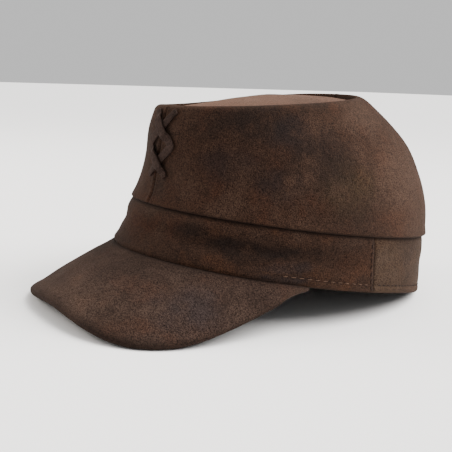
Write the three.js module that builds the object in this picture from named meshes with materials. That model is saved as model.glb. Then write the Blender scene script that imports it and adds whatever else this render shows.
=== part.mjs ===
// A suede peaked cap with a low oval top, a sewn band, a drooping peak and a crossed leather lace in front.
// Millimetres, +Z up. The cap is built with its hem level, front towards -Y and the wearer's left towards +X.
// It is then tipped back until it stands on the two corners of the peak and the back of the hem.
import * as THREE from 'three';
import { mergeVertices } from 'three/addons/utils/BufferGeometryUtils.js';

const DEG = Math.PI / 180;

// Leather and seams
const leather = 2;
const seamGap = 0.3;
const cutEdgeRound = 0.9;

// Hem of the band, measured outside
const hemLength = 206;
const hemWidth = 173;
const hemFrontRise = 1.7;
const hemRearDrop = 0.8;

// Band, from the hem up to the crown's lower edge
const bandFrontHeight = 28.6;
const bandRearHeight = 33.8;
const bandBulge = 0.4;
const bandTuck = 4;
const bandSeamAngle = 89;
const bandSeamLean = 4;

// Crown's lower edge, measured outside, and how far the band's shoulder stays inside it
const crownBaseFront = 94.4;
const crownBaseRear = 96.9;
const crownBaseWidth = 174.5;
const bandStepFront = 0.3;
const bandStepRear = 1.8;
const bandStepSide = 0.8;

// Rim of the crown, measured at its outer corner
const rimFrontSetback = 3.2;
const rimRearSetback = 60;
const rimSideSetback = 30.5;
const rimSag = 2.6;
const rimSagRound = 2;
const rimSagStart = -5;
const rimSagEnd = -125;
const rimFrontHeight = 85.4;
const rimRearHeight = 112.6;
const rimRadius = 3;
const lipWidth = 2.4;
const lipDepth = 3.5;

// Top panel
const topBulge = 6;

// Peak
const peakReach = 42;
const peakHalfWidth = 80;
const peakEndAngle = 70;
const peakThickness = 3.4;
const peakEndThickness = 1.6;
const peakMiddleDroop = 36.5;
const peakSideDroop = 28.4;
const peakBow = 2.2;
const peakSideFullness = 2.6;
const peakFrontFullness = 4.6;
const peakEndShare = 0.985;

// Lace
const laceWidth = 6.4;
const laceThickness = 1.4;
const laceHalfSpan = 10.5;
const laceTop = 53;
const laceUpperCross = 43.5;
const laceCorner = 34;
const laceLowerCross = 24.5;
const laceBottom = 16;

// How the crown's wall steps in on its way up: shares of the rim's setbacks, at even steps of height.
const crownSections = [
  { front: 0.0, rear: 0.0, side: 0.0 },
  { front: 0.95, rear: 0.043, side: 0.103 },
  { front: 1.0, rear: 0.184, side: 0.304 },
  { front: 0.48, rear: 0.43, side: 0.603 },
  { front: 1.0, rear: 1.0, side: 1.0 },
];

// How the band swells: shares of the bulge, at even steps from the hem to the shoulder.
const bandSections = [
  { swell: 0.0 },
  { swell: 0.3 },
  { swell: 0.6 },
  { swell: 1.0 },
  { swell: 0.7 },
];

// Way of each thong: across as a share of the lace's half span, up the crown's front, and lift in layers.
const laceUnderFirst = [
  { across: 1.0, up: laceTop, lift: 0 },
  { across: 0.1, up: laceUpperCross, lift: 0 },
  { across: -1.0, up: laceCorner, lift: 0 },
  { across: 0.0, up: laceLowerCross, lift: 1 },
  { across: 0.85, up: laceBottom, lift: 0 },
];
const laceOverFirst = [
  { across: -0.75, up: laceTop, lift: 0 },
  { across: 0.1, up: laceUpperCross, lift: 1 },
  { across: 1.0, up: laceCorner, lift: 0 },
  { across: 0.0, up: laceLowerCross, lift: 0 },
  { across: -0.8, up: laceBottom, lift: 0 },
];

// Mesh steps
const crownColumns = 26;
const crownRows = 8;
const roundSteps = 3;
const bandColumns = 28;
const bandRows = 6;
const topColumns = 44;
const topRows = 6;
const peakColumns = 36;
const peakRows = 6;
const laceSteps = 26;

// Reaches of the rings from the middle of the hem
const hemReach = hemLength / 2;
const hemHalf = hemWidth / 2;
const crownHalf = crownBaseWidth / 2;

// Shapes

// Point of a level oval, angle 0 in front and a quarter turn at the wearer's left.
function ovalPoint(front, rear, half, angle) {
  const middle = (rear - front) / 2;
  const reach = (rear + front) / 2;
  return new THREE.Vector3(half * Math.sin(angle), middle - reach * Math.cos(angle), 0);
}

// Level direction that points out of an oval at this angle.
function ovalOutward(front, rear, half, angle) {
  const reach = (rear + front) / 2;
  return new THREE.Vector3(Math.sin(angle) / half, -Math.cos(angle) / reach, 0).normalize();
}

function slopedHeight(front, rear, angle) {
  return (front + rear) / 2 + ((front - rear) / 2) * Math.cos(angle);
}

// Unit normal of a face given by an angle and a share, by small steps along each.
function faceNormal(face, angle, share) {
  const step = 1e-3;
  const low = THREE.MathUtils.clamp(share - step, 0, 1);
  const high = THREE.MathUtils.clamp(share + step, 0, 1);
  const across = face(angle + step, share).sub(face(angle - step, share));
  const along = face(angle, high).sub(face(angle, low));
  return across.cross(along).normalize();
}

// Solid between two grids of points. Columns crossed with rows point out of the outer grid.
function sheetSolid(columns, rows, outer, inner, closed = false) {
  const positions = [];
  for (const grid of [outer, inner]) {
    for (let i = 0; i <= columns; i += 1) {
      for (let j = 0; j <= rows; j += 1) positions.push(...grid(i, j).toArray());
    }
  }
  const side = (columns + 1) * (rows + 1);
  const near = (i, j) => i * (rows + 1) + j;
  const far = (i, j) => side + near(i, j);
  const faces = [];
  const quad = (a, b, c, d) => faces.push(a, b, c, a, c, d);
  for (let i = 0; i < columns; i += 1) {
    for (let j = 0; j < rows; j += 1) {
      quad(near(i, j), near(i + 1, j), near(i + 1, j + 1), near(i, j + 1));
      quad(far(i, j), far(i, j + 1), far(i + 1, j + 1), far(i + 1, j));
    }
    quad(near(i, 0), far(i, 0), far(i + 1, 0), near(i + 1, 0));
    quad(near(i, rows), near(i + 1, rows), far(i + 1, rows), far(i, rows));
  }
  for (let j = 0; j < rows && !closed; j += 1) {
    quad(near(0, j), near(0, j + 1), far(0, j + 1), far(0, j));
    quad(near(columns, j), far(columns, j), far(columns, j + 1), near(columns, j + 1));
  }
  return closedGeometry(positions, faces);
}

// Joins points that coincide, as at a pole or a rounded edge, and drops the triangles that shrink to a line there.
function closedGeometry(positions, faces) {
  const loose = new THREE.BufferGeometry();
  loose.setAttribute('position', new THREE.Float32BufferAttribute(positions, 3));
  loose.setIndex(faces);
  const merged = mergeVertices(loose, 1e-4);
  const kept = [];
  for (let k = 0; k < merged.index.count; k += 3) {
    const [a, b, c] = [0, 1, 2].map((n) => merged.index.getX(k + n));
    if (a !== b && b !== c && c !== a) kept.push(a, b, c);
  }
  merged.setIndex(kept);
  merged.computeVertexNormals();
  return merged;
}

// Crown

const crownInsets = new THREE.CatmullRomCurve3(
  crownSections.map((section) => new THREE.Vector3(section.front, section.rear, section.side)),
  false,
  'catmullrom',
  0.5,
);

function crownBaseHeight(angle) {
  return slopedHeight(bandFrontHeight, bandRearHeight, angle);
}

// Share of the soft sag of the rim on the wearer's right, full half way between its two ends.
function sagShare(angle) {
  const turned = THREE.MathUtils.euclideanModulo(rimSagStart * DEG - angle, 2 * Math.PI);
  const share = turned / ((rimSagStart - rimSagEnd) * DEG);
  return share < 1 ? Math.sin(share * Math.PI) ** 2 : 0;
}

function crownWallHeight(angle) {
  const rim = slopedHeight(rimFrontHeight, rimRearHeight, angle) - rimSag * sagShare(angle);
  return rim - crownBaseHeight(angle);
}

// Radius of the rim's rounded corner, softer where it sags.
function rimRoundAt(angle) {
  return rimRadius + rimSagRound * sagShare(angle);
}

// Outer face of the crown before its rim is rounded, rise from 0 at the lower edge to 1 at the rim.
function crownFace(angle, rise) {
  const inset = crownInsets.getPoint(rise);
  const point = ovalPoint(
    crownBaseFront - inset.x * rimFrontSetback,
    crownBaseRear - inset.y * rimRearSetback,
    crownHalf - inset.z * rimSideSetback,
    angle,
  );
  point.z = crownBaseHeight(angle) + crownWallHeight(angle) * rise;
  return point;
}

// Point a little way behind the crown's face, at a height above its lower edge.
function behindCrown(angle, depth, height) {
  const rise = Math.max(0, height) / crownWallHeight(angle);
  const point = crownFace(angle, rise).addScaledVector(faceNormal(crownFace, angle, rise), -depth);
  point.z = crownBaseHeight(angle) + height;
  return point;
}

function rimOutward(angle) {
  const front = crownBaseFront - rimFrontSetback;
  const rear = crownBaseRear - rimRearSetback;
  return ovalOutward(front, rear, crownHalf - rimSideSetback, angle);
}

// Point of the rim, in and down from its outer corner.
function rimPoint(angle, inwards, down) {
  const point = crownFace(angle, 1).addScaledVector(rimOutward(angle), -inwards);
  point.z -= down;
  return point;
}

// Half of the crown's wall between its front and back seams. Its upper edge is turned in over the rim.
function crownSide(startAngle, side) {
  const shift = new THREE.Vector3((side * seamGap) / 2, 0, 0);
  const rows = 1 + crownRows + roundSteps + 2;
  const lipEdge = rimRadius + lipWidth;
  const angleAt = (i) => startAngle + (Math.PI * i) / crownColumns;
  // Keeps the seam edges of both halves in the seam's plane.
  const seamed = (i, point) => {
    if (i === 0 || i === crownColumns) point.x = 0;
    return point.add(shift);
  };
  const outer = (i, j) => {
    const angle = angleAt(i);
    const height = crownWallHeight(angle);
    const round = rimRoundAt(angle);
    const roundStart = 1 - round / height;
    const cut = cutEdgeRound / height;
    if (j === 0) return seamed(i, behindCrown(angle, cutEdgeRound, 0));
    if (j <= 1 + crownRows) return seamed(i, crownFace(angle, cut + ((roundStart - cut) * (j - 1)) / crownRows));
    const turn = ((j - 1 - crownRows) / roundSteps) * (Math.PI / 2);
    if (j <= 1 + crownRows + roundSteps) {
      const inwards = round * (1 - Math.cos(turn));
      const point = crownFace(angle, 1 - (round * (1 - Math.sin(turn))) / height);
      return seamed(i, point.addScaledVector(rimOutward(angle), -inwards));
    }
    if (j < rows) return seamed(i, rimPoint(angle, (round + lipEdge) / 2, seamGap));
    return seamed(i, rimPoint(angle, lipEdge, lipDepth));
  };
  const inner = (i, j) => {
    const angle = angleAt(i);
    if (j === rows) return seamed(i, rimPoint(angle, lipEdge, lipDepth + leather));
    const top = crownWallHeight(angle) - lipDepth - leather;
    return seamed(i, behindCrown(angle, leather, (top * j) / (rows - 1)));
  };
  return sheetSolid(crownColumns, rows, outer, inner);
}

// Oval panel that lies inside the rim, low at its edge and full in the middle.
function crownTop() {
  const edgeInset = rimRadius + lipWidth + seamGap;
  const front = rimPoint(0, edgeInset, lipDepth);
  const rear = rimPoint(Math.PI, edgeInset, lipDepth);
  const face = (i, j, depth) => {
    const angle = (2 * Math.PI * (i % topColumns)) / topColumns;
    const share = 1 - j / topRows;
    const point = front.clone().add(rear).multiplyScalar(0.5).lerp(rimPoint(angle, edgeInset, lipDepth), share);
    point.z += topBulge * Math.cos((share * Math.PI) / 2) - depth;
    return point;
  };
  return sheetSolid(topColumns, topRows, (i, j) => face(i, j, 0), (i, j) => face(i, j, leather), true);
}

// Band

const bandSwells = new THREE.SplineCurve(
  bandSections.map((section, index) => new THREE.Vector2(index, section.swell)),
);

function hemPoint(angle) {
  const point = ovalPoint(hemReach, hemReach, hemHalf, angle);
  const frontShare = ((1 + Math.cos(angle)) / 2) ** 2;
  const rearShare = ((1 - Math.cos(angle)) / 2) ** 2;
  point.z = hemFrontRise * frontShare - hemRearDrop * rearShare;
  return point;
}

function hemOutward(angle) {
  return ovalOutward(hemReach, hemReach, hemHalf, angle);
}

// Outer face of the band, rise from 0 at the hem to 1 at its shoulder under the crown.
function bandFace(angle, rise) {
  const shoulder = ovalPoint(
    crownBaseFront - bandStepFront,
    crownBaseRear - bandStepRear,
    crownHalf - bandStepSide,
    angle,
  );
  shoulder.z = crownBaseHeight(angle) - seamGap;
  const point = hemPoint(angle).lerp(shoulder, rise);
  return point.addScaledVector(hemOutward(angle), bandBulge * bandSwells.getPoint(rise).y);
}

// Angle of the leaning side seam, at a rise up the band.
function bandSeamAt(rise) {
  return (bandSeamAngle + bandSeamLean * (1 - Math.min(1, rise))) * DEG;
}

// Part of the band between its side seams. Its upper edge goes up behind the crown.
function bandPanel(side) {
  const shift = new THREE.Vector3(0, (side * seamGap) / 2, 0);
  const tuckDepth = leather + seamGap;
  const rows = bandRows + 2;
  const angleAt = (i, j) => {
    const seam = bandSeamAt(j / bandRows);
    const [start, end] = side < 0 ? [-seam, seam] : [seam, 2 * Math.PI - seam];
    return start + ((end - start) * i) / bandColumns;
  };
  const outer = (i, j) => {
    const angle = angleAt(i, j);
    if (j <= bandRows) return bandFace(angle, j / bandRows).add(shift);
    return behindCrown(angle, tuckDepth, j === rows ? bandTuck : -seamGap).add(shift);
  };
  const inner = (i, j) => {
    const angle = angleAt(i, j);
    if (j >= bandRows) {
      const height = [-seamGap - leather, 0, bandTuck][j - bandRows];
      return behindCrown(angle, tuckDepth + leather, height).add(shift);
    }
    return bandFace(angle, j / bandRows).addScaledVector(hemOutward(angle), -leather).add(shift);
  };
  return sheetSolid(bandColumns, rows, outer, inner);
}

// Peak

// Edge of the peak, share from -1 at the wearer's right end through 0 in the middle to 1.
function peakEdge(share) {
  const turn = Math.abs(share) * (Math.PI / 2);
  const end = hemPoint(peakEndAngle * DEG);
  const forward = Math.cos(turn) ** (2 / peakFrontFullness);
  const spread = Math.sin(turn) ** (2 / peakSideFullness);
  const x = (peakHalfWidth + (end.x - peakHalfWidth) * (1 - forward) ** 3) * spread;
  const y = end.y - (hemReach + peakReach + end.y) * forward;
  const hemY = -hemReach * Math.sqrt(1 - (Math.min(x, end.x) / hemHalf) ** 2);
  const middle = Math.tan(peakMiddleDroop * DEG);
  const slope = middle + (Math.tan(peakSideDroop * DEG) - middle) * (x / end.x) ** 2;
  return new THREE.Vector3(Math.sign(share) * x, y, -slope * (hemY - y));
}

function peakThicknessAt(share) {
  return peakThickness + (peakEndThickness - peakThickness) * Math.abs(share) ** 8;
}

// Upper face of the peak, reach from 0 under the band to 1 at the edge.
function peakFace(share, reach) {
  const root = hemPoint(share * peakEndAngle * DEG);
  const edge = peakEdge(share);
  edge.z += peakThicknessAt(share) / 2;
  const point = root.lerp(edge, reach);
  point.z += peakBow * 4 * reach * (1 - reach) - seamGap;
  return point;
}

// Peak with a rounded edge, and a narrow flange at its root that lies under the band.
function peak() {
  const shareAt = (i) => peakEndShare * (1 - (2 * i) / peakColumns);
  const rows = peakRows + 2;
  const downAt = (share, reach) => {
    const steady = THREE.MathUtils.clamp(share, -0.9, 0.9);
    const down = faceNormal(peakFace, steady, THREE.MathUtils.clamp(reach, 0.1, 0.9));
    return down.lerp(new THREE.Vector3(0, 0, -1), 1 - reach).normalize();
  };
  const flange = (share) => {
    const angle = share * peakEndAngle * DEG;
    const point = hemPoint(angle).addScaledVector(hemOutward(angle), -leather);
    point.z -= seamGap;
    return point;
  };
  // Last row of the faces stays back from the edge by the radius of its rounding.
  const reachAt = (share, j) => {
    const length = peakFace(share, 0).distanceTo(peakFace(share, 1));
    return ((j - 1) / peakRows) * (1 - peakThicknessAt(share) / 2 / Math.max(length, peakThicknessAt(share)));
  };
  const tip = (share) => peakFace(share, 1).addScaledVector(downAt(share, 1), peakThicknessAt(share) / 2);
  const outer = (i, j) => {
    const share = shareAt(i);
    if (j === rows) return tip(share);
    return j === 0 ? flange(share) : peakFace(share, reachAt(share, j));
  };
  const inner = (i, j) => {
    const share = shareAt(i);
    if (j === rows) return tip(share);
    const thickness = peakThicknessAt(share);
    if (j === 0) return flange(share).addScaledVector(new THREE.Vector3(0, 0, -1), thickness);
    const reach = reachAt(share, j);
    return peakFace(share, reach).addScaledVector(downAt(share, reach), thickness);
  };
  return sheetSolid(peakColumns, rows, outer, inner);
}

// Lace

// A flat thong laid over the crown's front along the given way.
function thong(way) {
  const frontHeight = crownWallHeight(0);
  const line = new THREE.CatmullRomCurve3(
    way.map((stop) => new THREE.Vector3(stop.across * laceHalfSpan, stop.up, stop.lift)),
    false,
    'catmullrom',
    0.4,
  );
  const layer = laceThickness + seamGap;
  const onCrown = (across, up, height) => {
    const rise = THREE.MathUtils.clamp(up / frontHeight, 0, 1);
    const half = crownHalf - crownInsets.getPoint(rise).z * rimSideSetback;
    const angle = across / half;
    return crownFace(angle, rise).addScaledVector(faceNormal(crownFace, angle, rise), height);
  };
  const grid = (height) => (i, j) => {
    const at = line.getPoint(i / laceSteps);
    const tangent = line.getTangent(i / laceSteps).setZ(0).normalize();
    const offset = (j - 1) * (laceWidth / 2);
    const lift = seamGap + THREE.MathUtils.smoothstep(at.z, 0.1, 0.55) * layer;
    return onCrown(at.x - tangent.y * offset, at.y + tangent.x * offset, lift + height);
  };
  return sheetSolid(laceSteps, 2, grid(laceThickness), grid(0));
}

// Finishes

const suede = new THREE.MeshStandardMaterial({ color: 0x4a352a, roughness: 0.95, metalness: 0 });
const backSuede = new THREE.MeshStandardMaterial({ color: 0x5a4838, roughness: 0.95, metalness: 0 });
const laceLeather = new THREE.MeshStandardMaterial({ color: 0x44312a, roughness: 0.85, metalness: 0 });

function mesh(name, geometry, material) {
  const made = new THREE.Mesh(geometry, material);
  made.name = name;
  return made;
}

// Assembly

const peakMesh = mesh('peak', peak(), suede);
const bandBack = mesh('band_back', bandPanel(1), backSuede);
const cap = new THREE.Group();
cap.add(
  mesh('crown_side_left', crownSide(0, 1), suede),
  mesh('crown_side_right', crownSide(Math.PI, -1), suede),
  mesh('crown_top', crownTop(), suede),
  mesh('band_front', bandPanel(-1), suede),
  bandBack,
  peakMesh,
  mesh('lace_under_first', thong(laceUnderFirst), laceLeather),
  mesh('lace_over_first', thong(laceOverFirst), laceLeather),
);

// Lowest point of a mesh once the cap is tipped back by this angle.
function lowest(piece, angle) {
  const tipped = piece.geometry.clone().rotateX(-angle);
  tipped.computeBoundingBox();
  return tipped.boundingBox.min.z;
}

// Angle at which the peak and the back of the hem touch the same level.
function restAngle() {
  let low = 0;
  let high = 45 * DEG;
  for (let pass = 0; pass < 40; pass += 1) {
    const angle = (low + high) / 2;
    if (lowest(peakMesh, angle) < lowest(bandBack, angle)) low = angle;
    else high = angle;
  }
  return high;
}

cap.rotation.x = -restAngle();
cap.updateMatrixWorld(true);
const bounds = new THREE.Box3().setFromObject(cap, true);
cap.position.set(0, -(bounds.min.y + bounds.max.y) / 2, -bounds.min.z);

const part = new THREE.Group();
part.add(cap);

export default part;
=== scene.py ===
"""A brown suede cap with a sewn band, a drooping peak and a crossed lace, dressed over its rigid model."""
import logging
import math
from contextlib import contextmanager
from dataclasses import dataclass
from enum import Enum
from typing import Any, Callable, Iterator, Optional, Sequence

import bpy
from mathutils import Matrix, Vector, noise


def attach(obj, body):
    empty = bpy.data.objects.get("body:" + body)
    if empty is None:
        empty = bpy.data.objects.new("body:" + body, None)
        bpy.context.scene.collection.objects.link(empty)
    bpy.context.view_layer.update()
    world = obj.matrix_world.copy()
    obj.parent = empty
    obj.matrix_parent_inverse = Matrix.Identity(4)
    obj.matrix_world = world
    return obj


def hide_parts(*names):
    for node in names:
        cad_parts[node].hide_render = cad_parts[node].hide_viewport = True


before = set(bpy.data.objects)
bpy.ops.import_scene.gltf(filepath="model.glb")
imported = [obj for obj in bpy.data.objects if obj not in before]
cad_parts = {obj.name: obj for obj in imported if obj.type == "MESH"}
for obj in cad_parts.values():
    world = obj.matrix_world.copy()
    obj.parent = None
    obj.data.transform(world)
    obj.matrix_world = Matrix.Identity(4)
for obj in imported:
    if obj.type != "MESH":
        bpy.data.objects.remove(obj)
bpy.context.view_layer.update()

LOG = logging.getLogger("cap")
MM = 0.001
TURN = 2 * math.pi
NEAR = 1e-4

Piece = bpy.types.Object
Marks = tuple[float, float]
Triple = tuple[float, float, float]
Colour = tuple[float, float, float, float]
Calm = tuple[float, float, float, float]
Face = Callable[[float, float], Vector]
Test = Callable[[Vector], bool]
# A point of the level cap, and its share of painted shade, from 0 on open suede to 1 deep in a seam or
# under an overlap
Spot = tuple[Vector, float]


class Side(Enum):
    """Wearer's side of the cap that a piece belongs to."""

    LEFT = 1
    RIGHT = -1


class End(Enum):
    """End of the cap that a panel of the band covers."""

    FRONT = -1
    REAR = 1


def smooth(value: float, low: float, high: float) -> float:
    """Rises smoothly from 0 at low to 1 at high."""
    share = min(1.0, max(0.0, (value - low) / (high - low)))
    return share * share * (3 - 2 * share)


def spline(rows: Sequence[Sequence[float]], share: float, tension: float) -> list[float]:
    """Point of a smooth curve through a table's rows.

    Args:
        rows: Numbers of each row, at even steps of the share.
        share: Place along the curve, from 0 to 1.
        tension: How far the neighbours pull each tangent.

    Returns:
        The numbers at that place.
    """
    last = len(rows) - 1
    place = min(max(share, 0.0), 1.0) * last
    start = min(int(place), last - 1)
    t = place - start
    result = []
    for column in range(len(rows[0])):
        b = rows[start][column]
        c = rows[start + 1][column]
        a = rows[start - 1][column] if start > 0 else 2 * b - c
        d = rows[start + 2][column] if start + 2 <= last else 2 * c - b
        rise_b = tension * (c - a)
        rise_c = tension * (d - b)
        cubic = 2 * b - 2 * c + rise_b + rise_c
        square = -3 * b + 3 * c - 2 * rise_b - rise_c
        result.append(cubic * t ** 3 + square * t ** 2 + rise_b * t + b)
    return result


def crowded(share: float, gather: float) -> float:
    """Even share from 0 to 1, crowded towards both ends."""
    return share - gather * math.sin(TURN * share) / TURN


def plateau(value: float, start: float, full: float, fading: float, end: float) -> float:
    """Rises smoothly from 0 to 1 between two marks and falls back between two more."""
    return smooth(value, start, full) * (1 - smooth(value, fading, end))


@dataclass(frozen=True)
class Swell:
    """A soft ridge round a centre, in the units of the place that it is asked for."""

    centre: float
    reach: float
    height: float = 1.0

    def at(self, place: float) -> float:
        """Height of the ridge at a place."""
        return self.height * math.exp(-(((place - self.centre) / self.reach) ** 2))


@dataclass(frozen=True)
class Ripple:
    """Unevenness of soft suede: broad and fine waves, with their sizes and heights in millimetres."""

    broad: float
    broad_height: float
    fine: float = 1.0
    fine_height: float = 0.0
    fine_shift: Triple = (0.0, 0.0, 0.0)

    def at(self, point: Vector) -> float:
        """Height of the unevenness at a point of the level cap."""
        fine = noise.noise(point / self.fine + Vector(self.fine_shift))
        return noise.noise(point / self.broad) * self.broad_height + fine * self.fine_height


@dataclass(frozen=True)
class Inset:
    """How far an oval steps in, in front, behind and at its sides: distances, or shares of them."""

    front: float
    rear: float
    side: float

    def times(self, share: "Inset") -> "Inset":
        """Each distance by its share."""
        return Inset(self.front * share.front, self.rear * share.rear, self.side * share.side)


@dataclass(frozen=True)
class Oval:
    """A level oval: its reach in front and behind, and half its width."""

    front: float
    rear: float
    half: float

    def inside(self, inset: Inset) -> "Oval":
        """Oval that is stepped in from this one."""
        return Oval(self.front - inset.front, self.rear - inset.rear, self.half - inset.side)

    def point(self, angle: float) -> Vector:
        """Point at an angle round the cap."""
        y = (self.rear - self.front) / 2 - (self.rear + self.front) / 2 * math.cos(angle)
        return Vector((self.half * math.sin(angle), y, 0.0))

    def outward(self, angle: float) -> Vector:
        """Level direction out of the oval at an angle round the cap."""
        reach = (self.rear + self.front) / 2
        return Vector((math.sin(angle) / self.half, -math.cos(angle) / reach, 0.0)).normalized()


@dataclass(frozen=True)
class Dent:
    """A soft dent: angle and half width in degrees, height share, half height and depth in millimetres."""

    angle: float
    height: float
    half_width: float
    half_height: float
    depth: float


@dataclass(frozen=True)
class Pattern:
    """Sizes of the cap in millimetres, hem level, front towards -Y and the wearer's left towards +X.

    Angles round the cap are 0 in front and a quarter turn at the wearer's left.
    """

    leather: float = 2.0
    seam_gap: float = 0.3
    hem: Oval = Oval(103.0, 103.0, 86.5)
    hem_front_rise: float = 1.7
    hem_rear_drop: float = 0.8
    band_front: float = 28.6
    band_rear: float = 33.8
    band_bulge: float = 0.4
    band_tuck: float = 4.0
    band_seam_angle: float = 89.0
    band_seam_lean: float = 4.0
    base: Oval = Oval(94.4, 96.9, 87.25)
    step: Inset = Inset(0.3, 1.8, 0.8)
    setback: Inset = Inset(3.2, 60.0, 30.5)
    rim_front: float = 85.4
    rim_rear: float = 112.6
    rim_radius: float = 3.0
    rim_sag: float = 3.1
    rim_sag_round: float = 2.0
    rim_sag_start: float = 0.0
    rim_sag_end: float = -160.0
    lip_width: float = 2.4
    lip_depth: float = 3.5
    top_bulge: float = 6.0
    peak_reach: float = 42.0
    peak_half: float = 80.0
    peak_end_angle: float = 70.0
    peak_thickness: float = 3.4
    peak_end_thickness: float = 1.6
    peak_middle_droop: float = 36.5
    peak_side_droop: float = 28.4
    peak_bow: float = 2.2
    peak_side_fullness: float = 2.6
    peak_front_fullness: float = 4.6
    peak_end_share: float = 0.985
    rest_tilt: float = 8.7113
    rest_shift_y: float = 22.5223
    rest_shift_z: float = 16.4134
    insets: tuple[Inset, ...] = (
        Inset(0.0, 0.0, 0.0),
        Inset(0.95, 0.043, 0.103),
        Inset(1.0, 0.184, 0.304),
        Inset(0.48, 0.43, 0.603),
        Inset(1.0, 1.0, 1.0),
    )
    swells: tuple[float, ...] = (0.0, 0.3, 0.6, 1.0, 0.7)
    crown_ripple: Ripple = Ripple(34.0, 0.75, 13.0, 0.22, (7.0, 3.0, 1.0))
    crown_calm: Calm = (0.02, 0.2, 0.8, 0.97)

    def placed(self, point: Vector) -> Vector:
        """Point of the level cap, in the part's own frame and in metres."""
        return (self.turned(point) + Vector((0.0, self.rest_shift_y, self.rest_shift_z))) * MM

    def turned(self, direction: Vector) -> Vector:
        """Direction of the level cap, in the part's own frame."""
        return Matrix.Rotation(-math.radians(self.rest_tilt), 3, "X") @ direction

    @staticmethod
    def sloped(front: float, rear: float, angle: float) -> float:
        """Height that goes from a front value to a rear value round the cap."""
        return (front + rear) / 2 + (front - rear) / 2 * math.cos(angle)

    @staticmethod
    def normal(face: Face, angle: float, share: float) -> Vector:
        """Unit normal of a face by small steps along its two numbers.

        Args:
            face: Gives the face's points.
            angle: First number of the point.
            share: Second number, 0 to 1.

        Returns:
            The direction out of the face.
        """
        step = 1e-3
        low = min(max(share - step, 0.0), 1.0)
        high = min(max(share + step, 0.0), 1.0)
        across = face(angle + step, share) - face(angle - step, share)
        along = face(angle, high) - face(angle, low)
        return across.cross(along).normalized()

    def base_height(self, angle: float) -> float:
        """Height of the crown's lower edge."""
        return self.sloped(self.band_front, self.band_rear, angle)

    def sag_share(self, angle: float) -> float:
        """Share of the rim's soft sag on the wearer's right.

        Args:
            angle: Angle round the cap.

        Returns:
            The share, 0 where the rim is level.
        """
        turned = (math.radians(self.rim_sag_start) - angle) % TURN
        share = turned / math.radians(self.rim_sag_start - self.rim_sag_end)
        return math.sin(share * math.pi) ** 2 if share < 1 else 0.0

    def wall_height(self, angle: float) -> float:
        """Height of the crown's wall above its lower edge."""
        rim = self.sloped(self.rim_front, self.rim_rear, angle) - self.rim_sag * self.sag_share(angle)
        return rim - self.base_height(angle)

    def rim_round(self, angle: float) -> float:
        """Radius of the rim's rounded corner."""
        return self.rim_radius + self.rim_sag_round * self.sag_share(angle)

    def crown_oval(self, rise: float) -> Oval:
        """Level section of the crown at a share of its wall's height."""
        rows = [(row.front, row.rear, row.side) for row in self.insets]
        return self.base.inside(self.setback.times(Inset(*spline(rows, rise, 0.5))))

    def crown_face(self, angle: float, rise: float) -> Vector:
        """Outer face of the crown, rise from 0 at its lower edge to 1 at the rim."""
        height = self.base_height(angle) + self.wall_height(angle) * rise
        return self.crown_oval(rise).point(angle) + Vector((0.0, 0.0, height))

    def soft_crown(self, angle: float, rise: float, depth: float = 0.0) -> Vector:
        """Crown's face with the slight unevenness of soft suede, and a depth behind it.

        Args:
            angle: Angle round the cap.
            rise: Share of the wall's height.
            depth: Distance behind the face.

        Returns:
            The place in the level cap.
        """
        point = self.crown_face(angle, rise)
        wave = self.crown_ripple.at(point) * plateau(rise, *self.crown_calm)
        return point + self.normal(self.crown_face, angle, rise) * (wave - depth)

    def behind_crown(self, angle: float, depth: float, height: float) -> Vector:
        """Point behind the crown's face, at a height above its lower edge.

        Args:
            angle: Angle round the cap.
            depth: Distance behind the face.
            height: Height above the lower edge.

        Returns:
            The place in the level cap.
        """
        rise = max(0.0, height) / self.wall_height(angle)
        point = self.crown_face(angle, rise) - self.normal(self.crown_face, angle, rise) * depth
        point.z = self.base_height(angle) + height
        return point

    def rim_point(self, angle: float, inwards: float, down: float) -> Vector:
        """Point of the rim, in and down from its outer corner."""
        out = self.base.inside(self.setback).outward(angle)
        return self.crown_face(angle, 1.0) - out * inwards - Vector((0.0, 0.0, down))

    def hem_point(self, angle: float) -> Vector:
        """Point of the hem's outer edge.

        Args:
            angle: Angle round the cap.

        Returns:
            The place in the level cap.
        """
        point = self.hem.point(angle)
        front = ((1 + math.cos(angle)) / 2) ** 2
        rear = ((1 - math.cos(angle)) / 2) ** 2
        point.z = self.hem_front_rise * front - self.hem_rear_drop * rear
        return point

    def band_face(self, angle: float, rise: float) -> Vector:
        """Outer face of the band, rise from 0 at the hem to 1 at its shoulder.

        Args:
            angle: Angle round the cap.
            rise: Share of the band's height.

        Returns:
            The place in the level cap.
        """
        shoulder = self.base.inside(self.step).point(angle)
        shoulder.z = self.base_height(angle) - self.seam_gap
        swell = spline([(value,) for value in self.swells], rise, 0.5)[0]
        flat = self.hem_point(angle).lerp(shoulder, rise)
        return flat + self.hem.outward(angle) * (self.band_bulge * swell)

    def band_seam(self, rise: float) -> float:
        """Angle of the leaning side seam at a rise up the band."""
        return math.radians(self.band_seam_angle + self.band_seam_lean * (1 - min(1.0, rise)))

    def peak_edge(self, share: float) -> Vector:
        """Edge of the peak, share from -1 through 0 in the middle to 1.

        Args:
            share: Place along the edge, 1 at the wearer's left.

        Returns:
            The place in the level cap.
        """
        turn = abs(share) * math.pi / 2
        end = self.hem_point(math.radians(self.peak_end_angle))
        forward = max(0.0, math.cos(turn)) ** (2 / self.peak_front_fullness)
        spread = math.sin(turn) ** (2 / self.peak_side_fullness)
        x = (self.peak_half + (end.x - self.peak_half) * (1 - forward) ** 3) * spread
        y = end.y - (self.hem.front + self.peak_reach + end.y) * forward
        hem_y = -self.hem.front * math.sqrt(1 - (min(x, end.x) / self.hem.half) ** 2)
        middle = math.tan(math.radians(self.peak_middle_droop))
        side = math.tan(math.radians(self.peak_side_droop))
        slope = middle + (side - middle) * (x / end.x) ** 2
        return Vector((math.copysign(x, share), y, -slope * (hem_y - y)))

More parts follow.
